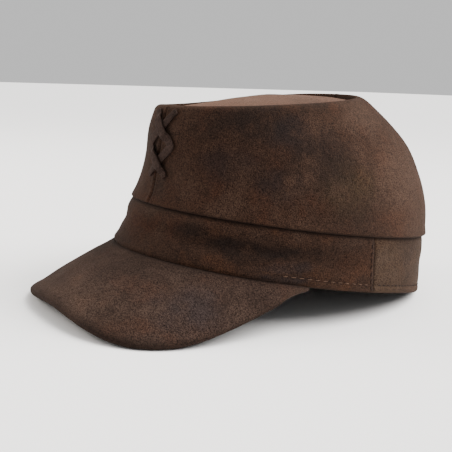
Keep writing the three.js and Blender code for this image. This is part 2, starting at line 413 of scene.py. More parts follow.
    def peak_thickness_at(self, share: float) -> float:
        """Thickness of the peak, thinner at its two ends."""
        return self.peak_thickness + (self.peak_end_thickness - self.peak_thickness) * abs(share) ** 8

    def peak_face(self, share: float, reach: float) -> Vector:
        """Upper face of the peak, reach from 0 under the band to 1 at the edge.

        Args:
            share: Place along the peak, from -1 to 1.
            reach: Share of the way out.

        Returns:
            The place in the level cap.
        """
        edge = self.peak_edge(share)
        edge.z += self.peak_thickness_at(share) / 2
        point = self.hem_point(math.radians(share * self.peak_end_angle)).lerp(edge, reach)
        point.z += self.peak_bow * 4 * reach * (1 - reach) - self.seam_gap
        return point

    def peak_down(self, share: float, reach: float) -> Vector:
        """Direction through the peak's thickness, from its upper face.

        Args:
            share: Place along the peak, from -1 to 1.
            reach: Share of the way out.

        Returns:
            The direction in the level cap.
        """
        steady = min(max(share, -0.9), 0.9)
        down = self.normal(self.peak_face, steady, min(max(reach, 0.1), 0.9))
        return down.lerp(Vector((0, 0, -1)), 1 - min(1.0, reach)).normalized()


class Bench:
    """Models a piece from a primitive, in edit mode and with applied modifiers."""

    cut_angle = math.radians(55)
    smooth_angle = math.radians(50)

    @staticmethod
    @contextmanager
    def editing() -> Iterator[None]:
        """Edit mode with the whole active mesh selected, left again at the end.

        Yields:
            Nothing, once the mesh is selected.
        """
        bpy.ops.object.mode_set(mode="EDIT")
        bpy.ops.mesh.select_all(action="SELECT")
        yield
        bpy.ops.object.mode_set(mode="OBJECT")

    @staticmethod
    def start(name: str) -> None:
        """Deselects all before a new primitive is added, and says which.

        Args:
            name: Name of the new piece.
        """
        if bpy.context.object is not None and bpy.context.object.mode != "OBJECT":
            bpy.ops.object.mode_set(mode="OBJECT")
        bpy.ops.object.select_all(action="DESELECT")
        LOG.info("modelling %s", name)

    @staticmethod
    def pick(piece: Piece, test: Test) -> None:
        """Selects the vertices whose place passes a test, and enters edit mode.

        Args:
            piece: Object to select in.
            test: Says whether a place is wanted.
        """
        bpy.ops.object.mode_set(mode="EDIT")
        bpy.ops.mesh.select_mode(type="VERT")
        bpy.ops.mesh.select_all(action="DESELECT")
        bpy.ops.object.mode_set(mode="OBJECT")
        for vertex in piece.data.vertices:
            vertex.select = test(vertex.co)
        bpy.ops.object.mode_set(mode="EDIT")

    @classmethod
    def tube(cls, name: str, around: int, rows: int, capped: bool = False) -> Piece:
        """A straight tube of unit radius with a ring at each whole height.

        Args:
            name: Name of the new piece.
            around: Vertices in a ring.
            rows: Number of steps up.
            capped: Whether both ends are filled.

        Returns:
            The new object, in object mode.
        """
        cls.start(name)
        bpy.ops.mesh.primitive_circle_add(vertices=around, radius=1.0, location=(0, 0, 0))
        piece = bpy.context.object
        piece.name = name
        piece.data.name = name
        with cls.editing():
            for _ in range(rows):
                bpy.ops.mesh.extrude_region_move(TRANSFORM_OT_translate={"value": (0, 0, 1)})
            for level in (0, rows) if capped else ():
                cls.pick(piece, lambda place: round(place.z) == level)
                bpy.ops.mesh.edge_face_add()
        return piece

    @classmethod
    def keep(cls, piece: Piece, test: Test) -> None:
        """Deletes the vertices whose place fails a test.

        Args:
            piece: Object to cut.
            test: Says whether a place stays.
        """
        cls.pick(piece, lambda place: not test(place))
        bpy.ops.mesh.delete(type="VERT")
        bpy.ops.object.mode_set(mode="OBJECT")

    @staticmethod
    def settle(piece: Piece, pattern: Pattern, shape: Callable[[float, int], Spot]) -> None:
        """Moves each vertex of a straight tube to its place on the real form, never under the table, and
        stores its share of painted shade.

        Args:
            piece: The tube.
            pattern: Pattern that the form is cut from.
            shape: Gives the spot in the level cap at an angle and a row.
        """
        # Each vertex's share of painted shade, read by its suede's colour as the seam attribute
        mask = piece.data.attributes.new(name="seam", type="FLOAT", domain="POINT")
        for vertex in piece.data.vertices:
            angle = math.atan2(vertex.co.x, -vertex.co.y)
            point, seam = shape(angle, round(vertex.co.z))
            place = pattern.placed(point)
            place.z = max(place.z, 0.0)
            vertex.co = place
            mask.data[vertex.index].value = seam
        piece.data.update()

    @classmethod
    def mend(cls) -> None:
        """Merges the active mesh's doubles and points its faces one way."""
        with cls.editing():
            bpy.ops.mesh.remove_doubles(threshold=1e-6)
            bpy.ops.mesh.normals_make_consistent(inside=False)

    @staticmethod
    def modify(piece: Piece, kind: str, **settings: Any) -> None:
        """Adds a modifier with its settings and applies it.

        Args:
            piece: Object to change.
            kind: Modifier's type.
            settings: Its properties by name.
        """
        bpy.context.view_layer.objects.active = piece
        modifier = piece.modifiers.new(kind.title(), kind)
        for key, value in settings.items():
            setattr(modifier, key, value)
        bpy.ops.object.modifier_apply(modifier=modifier.name)

    @classmethod
    def shell(cls, piece: Piece, pattern: Pattern, inside: Triple, edge: float) -> Piece:
        """Turns an open shell's faces out, and gives it leather's thickness and rounded cut edges.

        Args:
            piece: The open shell.
            pattern: Pattern that it is cut from.
            inside: Point of the level cap inside the shell.
            edge: Width of the rounding.

        Returns:
            The finished mesh object.
        """
        centre = pattern.placed(Vector(inside))
        total = sum((face.center - centre).dot(face.normal) * face.area for face in piece.data.polygons)
        if total < 0:
            with cls.editing():
                bpy.ops.mesh.flip_normals()
        cls.modify(piece, "SOLIDIFY", thickness=pattern.leather * MM, offset=-1.0, use_rim=True)
        bevel = {"width": edge * MM, "segments": 2, "limit_method": "ANGLE", "angle_limit": cls.cut_angle}
        cls.modify(piece, "BEVEL", **bevel)
        return piece

    @classmethod
    def finish(cls, piece: Piece, material: bpy.types.Material, slot: str, *nodes: str) -> None:
        """Smooths a piece, gives it its material and ties it to the frame.

        Args:
            piece: The finished mesh object.
            material: Its only material.
            slot: Its material slot; not used.
            nodes: Nodes of the rigid model that it replaces.
        """
        bpy.ops.object.select_all(action="DESELECT")
        piece.select_set(True)
        bpy.context.view_layer.objects.active = piece
        bpy.ops.object.shade_smooth_by_angle(angle=cls.smooth_angle)
        piece.data.materials.clear()
        piece.data.materials.append(material)
        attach(piece, "root")
        if nodes:
            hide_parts(*nodes)
        LOG.info("%s has %d faces", piece.name, len(piece.data.polygons))


class Value:
    """A number that varies over a surface, with plain arithmetic."""

    def __init__(self, tree: bpy.types.NodeTree, socket: bpy.types.NodeSocket) -> None:
        """Wraps an output socket of a tree."""
        self.tree = tree
        self.socket = socket

    def _maths(self, operation: str, first: Any, second: Any = None) -> "Value":
        """Adds one Math node for an operation on values or numbers.

        Args:
            operation: Name of the operation.
            first: Value or number.
            second: Value, number or none.

        Returns:
            The node's result.
        """
        node = self.tree.nodes.new("ShaderNodeMath")
        node.operation = operation
        for index, item in enumerate((first, second)):
            if isinstance(item, Value):
                self.tree.links.new(item.socket, node.inputs[index])
            elif item is not None:
                node.inputs[index].default_value = item
        return Value(self.tree, node.outputs[0])

    def __add__(self, other: Any) -> "Value":
        """Sum."""
        return self._maths("ADD", self, other)

    def __sub__(self, other: Any) -> "Value":
        """Difference."""
        return self._maths("SUBTRACT", self, other)

    def __rsub__(self, other: Any) -> "Value":
        """Difference from a number."""
        return self._maths("SUBTRACT", other, self)

    def __mul__(self, other: Any) -> "Value":
        """Product."""
        return self._maths("MULTIPLY", self, other)

    __radd__ = __add__
    __rmul__ = __mul__


@dataclass(frozen=True)
class Grain:
    """One size of cloudy noise: scale per metre, octaves, roughness, shares of shade and relief."""

    scale: float
    octaves: float = 3.0
    rough: float = 0.55
    shade: float = 0.0
    relief: float = 0.0


class Dye:
    """A material's node tree, with one method that adds any node and short ones for the common nodes."""

    def __init__(self, name: str) -> None:
        """Starts an empty material.

        Args:
            name: Name of the material.
        """
        self.material = bpy.data.materials.new(name)
        self.material.use_nodes = True
        self.tree = self.material.node_tree
        self.tree.nodes.clear()

    def node(
        self, kind: str, settings: Optional[dict] = None, sockets: Optional[dict] = None, out: Any = 0
    ) -> Value:
        """Adds a node, sets it up and feeds its sockets.

        Args:
            kind: Type of the node, without its ShaderNode prefix.
            settings: Properties set before the sockets are fed.
            sockets: Numbers, colours or values by socket name or number.
            out: Name or number of the output that is returned.

        Returns:
            That output as a value.
        """
        node = self.tree.nodes.new("ShaderNode" + kind)
        for key, value in (settings or {}).items():
            setattr(node, key, value)
        for key, value in (sockets or {}).items():
            if isinstance(value, Value):
                self.tree.links.new(value.socket, node.inputs[key])
            else:
                node.inputs[key].default_value = value
        return Value(self.tree, node.outputs[out] if node.outputs else None)

    def noise(self, place: Value, grain: Grain, out: str = "Fac") -> Value:
        """Cloudy noise of one grain."""
        shape = {"Scale": grain.scale, "Detail": grain.octaves, "Roughness": grain.rough}
        return self.node("TexNoise", sockets={"Vector": place, **shape}, out=out)

    def between(self, value: Value, low: float, high: float) -> Value:
        """Smooth mask that rises as a value goes from low to high."""
        settings = {"interpolation_type": "SMOOTHSTEP"}
        return self.node("MapRange", settings, {"Value": value, "From Min": low, "From Max": high})

    def mix(self, mask: Any, first: Any, second: Any, blend: str = "MIX") -> Value:
        """Mixes two colours by a mask."""
        settings = {"data_type": "RGBA", "blend_type": blend, "clamp_factor": True}
        return self.node("Mix", settings, {0: mask, 6: first, 7: second}, out=2)

    def vector(self, operation: str, first: Any, second: Any, out: int = 0) -> Value:
        """One vector operation."""
        return self.node("VectorMath", {"operation": operation}, {0: first, 1: second}, out)

    def bump(self, height: Value, strength: float, distance: float) -> Value:
        """Normal of a surface raised by a height, over a distance in metres."""
        sockets = {"Height": height, "Strength": strength, "Distance": distance}
        return self.node("Bump", sockets=sockets, out="Normal")

    def surface(self, sockets: dict) -> bpy.types.Material:
        """Closes the tree with a shader.

        Args:
            sockets: Numbers, colours or values of the shader by socket name.

        Returns:
            The finished material.
        """
        shader = self.node("BsdfPrincipled", sockets=sockets)
        self.node("OutputMaterial", sockets={"Surface": shader})
        return self.material


def rgb(red: float, green: float, blue: float) -> Colour:
    """Linear colour with its alpha."""
    return (red, green, blue, 1.0)


class Tone(Enum):
    """Colours that the suede's stains take; the dark ones also stand in for painted shade, and the dusty
    one for painted light.
    """

    INK_AND_SHADE = rgb(0.0098, 0.0075, 0.0075)
    SOOT_AND_SHADE = rgb(0.0086, 0.0057, 0.0047)
    RUST = rgb(0.030, 0.0124, 0.0068)
    OLIVE = rgb(0.026, 0.0175, 0.0085)
    DUST_AND_LIGHT = rgb(0.062, 0.039, 0.028)
    CHESTNUT = rgb(0.021, 0.008, 0.0042)
    SLATE = rgb(0.0195, 0.0142, 0.0134)


@dataclass(frozen=True)
class Stain:
    """A worn, dyed or stained patch, which on the crown and the band also paints shade and light: centre
    and half sizes in millimetres of the part's frame, and its colour.
    """

    x: float
    y: float
    z: float
    wide: float
    high: float
    tone: Tone
    strength: float


@dataclass(frozen=True)
class Suede:
    """Brushed suede with a dyed, rubbed and stained nap, darkened by painted shade in seams and under
    overlaps.
    """

    name: str
    base: Colour
    deep: Colour
    warm: Colour
    rubbed: Colour
    stains: tuple[Stain, ...] = ()
    seed: float = 0.0
    nap: float = 1.0
    sheen: float = 0.04
    cloud: Grain = Grain(21.0)
    blotch: Grain = Grain(58.0, relief=0.8)
    brushed: Grain = Grain(330.0, 3.0, 0.6, 0.9, 0.9)
    fibre: Grain = Grain(1300.0, 2.0, 0.75, 3.5, 0.6)
    speck: Grain = Grain(2600.0, 1.0, 0.5, 2.5, 0.35)
    shade_level: float = 2.45
    deep_from: Marks = (0.5, 0.68)
    warm_from: Marks = (0.5, 0.7)
    warm_share: float = 0.6
    rubbed_from: Marks = (0.5, 0.36)
    rubbed_share: float = 0.5
    stain_fade: Marks = (1.15, 0.25)
    stain_patches: Marks = (0.25, 0.6)
    # Colour and strength of the painted shade in seams and under overlaps
    painted_shade_colour: Colour = rgb(0.007, 0.0043, 0.0034)
    painted_shade_strength: float = 0.9
    wander: Grain = Grain(55.0, 4.0, 0.65)
    wander_reach: Triple = (0.03, 0.03, 0.012)

    def worn(self, dye: Dye, place: Value, shifted: Value, noises: dict[Grain, Value]) -> Value:
        """Colour of the dyed and rubbed suede with its stains.

        Args:
            dye: The material.
            place: Place on the piece.
            shifted: Place in the suede's own noise.
            noises: The suede's noises by their grain.

        Returns:
            The colour before the nap and the seams.
        """
        cloud, blotch = noises[self.cloud], noises[self.blotch]
        colour = dye.mix(dye.between(cloud, *self.deep_from), self.base, self.deep)
        colour = dye.mix(dye.between(blotch, *self.warm_from) * self.warm_share, colour, self.warm)
        rubbed = dye.between(cloud * 0.5 + blotch * 0.5, *self.rubbed_from)
        colour = dye.mix(rubbed * self.rubbed_share, colour, self.rubbed)
        wander = dye.vector("SUBTRACT", dye.noise(shifted, self.wander, "Color"), (0.5, 0.5, 0.5))
        loose = dye.vector("ADD", place, dye.vector("MULTIPLY", wander, self.wander_reach))
        patchy = dye.between(blotch, *self.stain_patches)
        for stain in self.stains:
            away = dye.vector("SUBTRACT", loose, Vector((stain.x, stain.y, stain.z)) * MM)
            sizes = [1 / (size * MM) for size in (stain.wide, stain.wide, stain.high)]
            length = dye.vector("LENGTH", dye.vector("MULTIPLY", away, sizes), (0, 0, 0), 1)
            mask = dye.between(length, *self.stain_fade) * stain.strength
            colour = dye.mix(mask * patchy, colour, stain.tone.value)
        return colour

    def material(self) -> bpy.types.Material:
        """Builds the material.

        Returns:
            The finished material.
        """
        dye = Dye(self.name)
        place = dye.node("TexCoord", out="Object")
        shifted = dye.vector("ADD", place, (self.seed, self.seed * 0.37, self.seed * 0.71))
        grains = (self.brushed, self.fibre, self.speck, self.blotch, self.cloud)
        noises = {grain: dye.noise(shifted, grain) for grain in grains}
        shade = sum(noises[grain] * grain.shade for grain in grains if grain.shade) - self.shade_level
        relief = sum(noises[grain] * grain.relief for grain in grains if grain.relief)
        tint = dye.node("CombineColor", sockets={"Red": shade, "Green": shade, "Blue": shade})
        colour = dye.mix(1.0, self.worn(dye, place, shifted, noises), tint, "MULTIPLY")
        # Painted shade: the seam attribute darkens the colour in seams, grooves and under overlaps
        seam = dye.node("Attribute", {"attribute_name": "seam"}, out="Fac")
        return dye.surface({
            "Base Color": dye.mix(seam * self.painted_shade_strength, colour, self.painted_shade_colour),
            "Roughness": 0.86 + noises[self.fibre] * 0.12,
            "Normal": dye.bump(relief, 0.55, 0.0006 * self.nap),
            "Sheen Weight": self.sheen,
            "Sheen Roughness": 0.55,
            "Sheen Tint": rgb(0.6, 0.4, 0.3),
            "Specular IOR Level": 0.06,
        })


@dataclass(frozen=True)
class Thread:
    """Waxed sewing thread."""

    name: str
    light: Colour
    dark: Colour
    twist: Grain = Grain(1600.0, 2.0)

    def material(self) -> bpy.types.Material:
        """Builds the material with a twist's fine bands.

        Returns:
            The finished material.
        """
        dye = Dye(self.name)
        twist = dye.noise(dye.node("TexCoord", out="Object"), self.twist)
        return dye.surface({
            "Base Color": dye.mix(dye.between(twist, 0.35, 0.65), self.light, self.dark),
            "Roughness": 0.75 + twist * 0.1,
            "Normal": dye.bump(twist, 0.4, 0.0002),
            "Specular IOR Level": 0.1,
        })


@dataclass(frozen=True)
class EdgeRow:
    """A row of a panel's edge: height above it, depth behind the face, and share of painted shade."""

    up: float
    back: float
    mask: float


@dataclass
class Crown:
    """The crown: two side walls, joined in front and behind, and the oval top panel."""

    pattern: Pattern
    columns: int = 200
    wall_rows: int = 30
    round_rows: int = 5
    # Rows of the cut foot; their masks paint shade where the crown overhangs the band
    foot: tuple[EdgeRow, ...] = (EdgeRow(0.0, 1.0, 0.9), EdgeRow(0.5, 0.3, 0.45), EdgeRow(1.3, 0.0, 0.0))
    lip_rows: int = 3
    wall_inside: Triple = (0.0, 5.0, 50.0)
    top_inside: Triple = (0.0, 0.0, 30.0)
    top_columns: int = 144
    top_rows: int = 18
    top_overlap: float = 0.8
    top_ripple: Ripple = Ripple(26.0, 0.8, 11.0, 0.2)
    seam: Swell = Swell(0.0, 0.8)
    seam_ridge: Swell = Swell(2.2, 1.0, 0.25)
    seam_groove: float = 0.8
    seam_wander: float = 3.0
    straight_from: float = 0.75
    wander_fade: float = 0.7
    painted_seam_shade: float = 0.6
    top_crowding: float = 0.8
    top_calm: Marks = (0.75, 0.97)
    top_edge: Marks = (0.93, 1.0)
    top_edge_painted_shade: float = 0.7
    closed_gap: float = -0.25
    cut_edge: float = 0.6
    gather: float = 0.75
    foot_flare: float = 0.7
    foot_flare_height: float = 7.0
    finish: Suede = Suede(
        "crown suede",
        rgb(0.0224, 0.0112, 0.0071), rgb(0.015, 0.0084, 0.0058), rgb(0.0315, 0.0131, 0.0074),
        rgb(0.036, 0.0205, 0.014),
        # Stains and wear, with painted shade over the front face and painted light on the rear
        (
            Stain(49.0, -30.0, 106.0, 34.0, 13.0, Tone.SOOT_AND_SHADE, 0.85),
            Stain(58.0, -12.0, 101.0, 22.0, 12.0, Tone.INK_AND_SHADE, 0.55),
            Stain(64.3, -25.1, 75.8, 14.0, 11.0, Tone.INK_AND_SHADE, 0.65),
            Stain(79.7, 11.7, 73.2, 22.0, 22.0, Tone.OLIVE, 0.5),
            Stain(78.5, 52.0, 74.0, 34.0, 32.0, Tone.DUST_AND_LIGHT, 0.32),
            Stain(83.7, 47.8, 56.0, 26.0, 10.0, Tone.RUST, 0.5),
            Stain(45.0, -42.7, 84.8, 22.0, 12.0, Tone.INK_AND_SHADE, 0.6),
            Stain(58.8, 36.0, 110.0, 22.0, 16.0, Tone.DUST_AND_LIGHT, 0.18),
            Stain(69.5, -2.0, 88.5, 30.0, 22.0, Tone.SOOT_AND_SHADE, 0.75),
            Stain(79.0, 12.0, 60.0, 30.0, 18.0, Tone.SOOT_AND_SHADE, 0.45),
            Stain(17.2, -62.6, 63.3, 24.0, 14.0, Tone.RUST, 0.5),
            Stain(-50.0, 60.0, 85.0, 40.0, 24.0, Tone.SOOT_AND_SHADE, 0.5),
            Stain(-70.0, -10.0, 75.0, 26.0, 20.0, Tone.RUST, 0.3),
        ),
    )
    # A lighter copy of the crown's suede: the lighter base is painted light, where the top catches the
    # light from above
    top_finish_painted_lighter: Suede = Suede(
        "top panel suede painted lighter",
        rgb(0.0361, 0.0167, 0.0112), rgb(0.0261, 0.0126, 0.0087), rgb(0.0418, 0.0178, 0.0112),
        rgb(0.0485, 0.0257, 0.0186), (), 3.1, 1.0, 0.24,
    )

    def flare(self, height: float) -> float:
        """How far the crown's cut foot stands proud of the pattern at a height above it."""
        return self.foot_flare * (1 - smooth(height, 0.0, self.foot_flare_height))

    def wall(self, angle: float, row: int) -> Spot:
        """Spot on a side wall's outer face.

        Args:
            angle: Angle round the cap.
            row: Row from the lower edge to the foot of the turned-in lip.

        Returns:
            The spot in the level cap.
        """
        shape = self.pattern
        height = shape.wall_height(angle)
        radius = shape.rim_round(angle)
        if row < len(self.foot):
            edge = self.foot[row]
            return shape.behind_crown(angle, edge.back - self.flare(edge.up), edge.up), edge.mask
        row -= len(self.foot) - 1
        start = self.foot[-1].up / height
        stop = 1 - radius / height
        if row <= self.wall_rows:
            rise = start + (stop - start) * row / self.wall_rows
            return shape.soft_crown(angle, rise, -self.flare(rise * height)), 0.0
        row -= self.wall_rows
        if row <= self.round_rows:
            turn = row / self.round_rows * math.pi / 2
            point = shape.crown_face(angle, 1 - radius * (1 - math.sin(turn)) / height)
            out = shape.crown_face(angle, 1.0) - shape.rim_point(angle, 1.0, 0.0)
            return point - out * radius * (1 - math.cos(turn)), 0.0
        lip = shape.rim_radius + shape.lip_width
        # The turned-in lip, with painted shade inside the rim
        turned_in = (
            EdgeRow(-0.2, (radius + lip) / 2, 0.0),
            EdgeRow(-0.9, lip - 0.3, 0.1),
            EdgeRow(-shape.lip_depth - shape.leather * 1.1, lip, 0.75),
        )
        edge = turned_in[row - self.round_rows - 1]
        return shape.rim_point(angle, edge.back, -edge.up), edge.mask

    def side(self, name: str, side: Side) -> Piece:
        """Models one half of the wall.

        Args:
            name: Name of the piece.
            side: Wearer's side.

        Returns:
            The finished mesh object.
        """
        shape = self.pattern
        first = len(self.foot) - 1
        piece = Bench.tube(name, self.columns, first + self.wall_rows + self.round_rows + self.lip_rows)
        Bench.keep(piece, lambda place: place.x * side.value > -MM)

        def settled(angle: float, row: int) -> Spot:
            """Spot with the sunk centre seam.

            Args:
                angle: Angle of the tube's vertex.
                row: Row up the tube.

            Returns:
                The spot in the level cap.
            """
            turned = side.value * math.pi * crowded(abs(angle) / math.pi, self.gather)
            rise = min(1.0, max(0.0, (row - first) / self.wall_rows))
            wander = self.seam_wander * math.sin(math.pi * min(1.0, rise / self.straight_from)) ** 2
            fade = 1 - smooth(abs(turned), 0.0, self.wander_fade)
            shifted = turned - wander / shape.base.half * fade
            point, seam = self.wall(shifted, row)
            behind = abs(abs(angle) - math.pi) < NEAR
            if behind:
                point.x = 0.0
            away = abs(turned) * shape.base.half if abs(angle) < math.pi / 2 else abs(point.x)
            sunk = self.seam.at(away)
            if row >= first:
                out = shape.base.outward(turned)
                point = point + out * (self.seam_ridge.at(away) - self.seam_groove * sunk)
            sewn = behind or abs(angle) < NEAR
            point.x += side.value * (self.closed_gap if sewn else shape.seam_gap / 2)
            # Painted shade along the sunk centre seams
            return point, max(seam, self.painted_seam_shade * sunk ** 2)

        Bench.settle(piece, shape, settled)
        return Bench.shell(piece, shape, self.wall_inside, self.cut_edge)

    def top(self) -> Piece:
        """Models the top panel, low at its sewn edge and full in the middle.

        Returns:
            The finished mesh object.
        """
        shape = self.pattern
        piece = Bench.tube("top_panel", self.top_columns, self.top_rows)
        inset = shape.rim_radius + shape.lip_width - self.top_overlap
        foremost, rearmost = (shape.rim_point(angle, inset, shape.lip_depth) for angle in (0.0, math.pi))
        middle = (foremost + rearmost) / 2

        def settled(angle: float, row: int) -> Spot:
            """Spot on the panel, row 0 at its edge.

            Args:
                angle: Angle of the tube's vertex.
                row: Row from the edge to the middle.

            Returns:
                The spot in the level cap.
            """
            share = (1 - row / self.top_rows) ** self.top_crowding
            point = middle.lerp(shape.rim_point(angle, inset, shape.lip_depth), share)
            point.z += shape.top_bulge * math.cos(share * math.pi / 2)
            point.z += self.top_ripple.at(point) * (1 - smooth(share, *self.top_calm))
            # Painted shade along the panel's sewn edge
            return point, smooth(share, *self.top_edge) * self.top_edge_painted_shade

        Bench.settle(piece, shape, settled)
        Bench.mend()
        return Bench.shell(piece, shape, self.top_inside, self.cut_edge)

    def build(self) -> None:
        """Makes the three pieces and dresses them."""
        suede = self.finish.material()
        left = self.side("crown_wall_left", Side.LEFT)
        Bench.finish(left, suede, "crown_side_left", "crown_side_left")
        right = self.side("crown_wall_right", Side.RIGHT)
        Bench.finish(right, suede, "crown_side_right", "crown_side_right")
        Bench.finish(self.top(), self.top_finish_painted_lighter.material(), "crown_top", "crown_top")


@dataclass(frozen=True)
class HemRow:
    """Stitches along the hem: angles in degrees, panel, and pitch and depth in millimetres."""

    start: float
    end: float
    part: End
    pitch: float
    sink: float


@dataclass
class Band:
    """The band: a long front panel, a shorter back panel, and the stitches along their hems."""

    pattern: Pattern
    columns: int = 160
    rows: int = 26
    tuck_rows: int = 2
    inside: Triple = (0.0, 0.0, 15.0)
    gather: float = 0.7
    row_gather: float = 0.55
    ripple: Ripple = Ripple(17.0, 0.4)
    calm: Calm = (0.2, 0.4, 0.8, 0.97)
    hem_ridge: Swell = Swell(2.3, 1.3, 0.28)
    hem_groove: Swell = Swell(4.4, 0.75, 0.4)
    groove_shade: Swell = Swell(4.4, 0.5, 0.25)
    peak_roll: Swell = Swell(2.8, 2.6, 0.9)
    rear_droop: Swell = Swell(40.0, 24.0, 3.0)
    seam: Swell = Swell(0.0, 0.9)
    seam_groove: float = 0.5
    painted_seam_shade: float = 0.8
    under_crown_painted_shadow: float = 0.85
    hem_edge_painted_shade: float = 0.5
    over_peak_until: Marks = (52.0, 68.0)
    hem_turn: float = 0.6
    hem_turn_height: float = 0.9
    top_turn: float = 0.35
    stitch_length: float = 2.9
    stitch_width: float = 0.55
    stitch_proud: float = 0.18
    stitch_lean: float = 0.12
    lean_turns: float = 7.0
    front_rows: tuple[HemRow, ...] = (
        HemRow(60.5, 90.5, End.FRONT, 4.6, 0.0),
        HemRow(-90.5, -60.5, End.FRONT, 4.6, 0.0),
    )
    back_row: HemRow = HemRow(95.5, 264.5, End.REAR, 4.2, 0.1)
    seam_stitch_start: float = 2.6
    seam_stitch_end: float = 29.5
    seam_stitch_pitch: float = 3.9
    seam_stitch_inset: float = 2.1
    seam_stitch_proud: float = 0.1
    closed_gap: float = -0.25
    cut_edge: float = 0.5
    dents: tuple[Dent, ...] = (
        Dent(34.0, 0.5, 15.0, 4.0, 1.8),
        Dent(53.0, 0.55, 17.0, 3.2, 1.7),
        Dent(14.0, 0.6, 10.0, 4.0, 1.4),
        Dent(56.0, 0.26, 9.0, 2.4, 0.7),
        Dent(76.0, 0.45, 12.0, 3.6, 0.8),
        Dent(24.0, 0.82, 22.0, 3.0, -0.9),
        Dent(30.0, 0.24, 20.0, 3.0, -0.8),
        Dent(70.0, 0.8, 16.0, 3.0, -0.6),
        Dent(-34.0, 0.82, 20.0, 3.0, -0.5),
        Dent(-28.0, 0.55, 14.0, 4.0, 0.9),
        Dent(-60.0, 0.5, 16.0, 3.6, 0.8),
        Dent(128.0, 0.5, 18.0, 4.5, 0.5),
        Dent(-140.0, 0.55, 18.0, 4.5, 0.5),
    )
    finish: Suede = Suede(
        "band suede",
        rgb(0.0205, 0.0105, 0.0067), rgb(0.0125, 0.007, 0.005), rgb(0.033, 0.0145, 0.0077),
        rgb(0.032, 0.0192, 0.0136),
        # Stains, with painted shade along the soft horizontal creases of the band
        (
            Stain(21.2, -67.8, 50.4, 18.0, 9.0, Tone.RUST, 0.75),
            Stain(34.0, -62.7, 50.0, 16.0, 6.0, Tone.SOOT_AND_SHADE, 0.8),
            Stain(59.8, -45.0, 44.0, 26.0, 7.5, Tone.SOOT_AND_SHADE, 0.95),
            Stain(72.2, -28.2, 41.0, 26.0, 4.5, Tone.SOOT_AND_SHADE, 0.9),
            Stain(74.3, -29.0, 27.3, 20.0, 3.0, Tone.INK_AND_SHADE, 0.8),
            Stain(85.3, 9.1, 34.0, 16.0, 11.0, Tone.RUST, 0.3),
            Stain(84.2, 3.2, 39.4, 22.0, 12.0, Tone.SOOT_AND_SHADE, 0.3),
            Stain(0.3, -71.9, 47.2, 20.0, 10.0, Tone.CHESTNUT, 0.9),
            Stain(74.2, -26.0, 34.0, 20.0, 4.0, Tone.SLATE, 0.5),
        ),
        1.7,
    )
    back_finish: Suede = Suede(
        "back band suede",
        rgb(0.029, 0.0172, 0.0108), rgb(0.02, 0.0118, 0.0078), rgb(0.036, 0.0188, 0.011),
        rgb(0.043, 0.0282, 0.02), (), 5.3,
    )
    thread: Thread = Thread("band thread", rgb(0.08, 0.045, 0.029), rgb(0.045, 0.025, 0.017))
    dark_thread: Thread = Thread("dark thread", rgb(0.009, 0.0055, 0.004), rgb(0.005, 0.003, 0.0025))

    def face(self, angle: float, rise: float) -> Vector:
        """Outer face with its dents, hem ridge and stitched groove.

        Args:
            angle: Angle round the cap.
            rise: Share of the band's height.

        Returns:
            The place in the level cap.
        """
        shape = self.pattern
        point = shape.band_face(angle, rise)
        height = rise * (shape.base_height(angle) - shape.seam_gap)
        from_front = abs(math.degrees((angle + math.pi) % TURN - math.pi))
        over_peak = 1 - smooth(from_front, *self.over_peak_until)
        shift = self.hem_turn * (smooth(height, 0.0, self.hem_turn_height) - 1)
        shift -= self.top_turn * smooth(rise, 0.9, 1.0)
        shift += self.hem_ridge.at(height) - self.hem_groove.at(height) * (1 - over_peak)
        shift += self.peak_roll.at(height) * over_peak
        droop = self.rear_droop.at(abs(math.degrees(angle) - 180))
        point.z -= droop * (1 - smooth(rise, 0.0, 0.8))
        for dent in self.dents:
            turned = (math.degrees(angle) - dent.angle + 180) % 360 - 180
            across = turned / dent.half_width
            up = (rise - dent.height) * shape.base_height(angle) / dent.half_height
            shift -= dent.depth * math.exp(-(across * across + up * up))
        shift += self.ripple.at(point) * plateau(rise, *self.calm)
        return point + shape.hem.outward(angle) * shift

    def panel(self, name: str, part: End) -> Piece:
        """Models the front or the rear panel.

        Args:
            name: Name of the piece.
            part: End of the cap that it covers.

        Returns:
            The finished mesh object.
        """
        shape = self.pattern
        piece = Bench.tube(name, self.columns * 2, self.rows + self.tuck_rows)
        Bench.keep(piece, lambda place: place.x > -MM)

        def settled(angle: float, row: int) -> Spot:
            """Spot on the panel, by the share along it.

            Args:
                angle: Angle of the tube's vertex.
                row: Row up the tube.

            Returns:
                The spot in the level cap.
            """
            share = crowded(abs(angle) / math.pi, self.gather)
            rise = crowded(min(1.0, row / self.rows), self.row_gather)
            seam = shape.band_seam(rise)
            start, end = (-seam, seam) if part is End.FRONT else (seam, TURN - seam)
            turned = start + (end - start) * share
            if row <= self.rows:
                point = self.face(turned, rise)
            else:
                up = -shape.seam_gap if row == self.rows + 1 else shape.band_tuck
                point = shape.behind_crown(turned, shape.leather + shape.seam_gap, up)
            sunk = self.seam.at(min(share, 1 - share) * (end - start) * shape.hem.half)
            point = point - shape.hem.outward(turned) * self.seam_groove * sunk
            point.y += part.value * self.closed_gap
            height = rise * shape.base_height(turned)
            # Painted shade: in the sunk side seams, along the stitched groove, under the crown's overhang
            # and at the lower cut edge
            under_crown = self.under_crown_painted_shadow * smooth(rise, 0.93, 1.0)
            cut = self.hem_edge_painted_shade * (1 - smooth(height, 0.0, 0.5))
            return point, max(self.painted_seam_shade * sunk, self.groove_shade.at(height), under_crown, cut)

        Bench.settle(piece, shape, settled)
        return Bench.shell(piece, shape, self.inside, self.cut_edge)

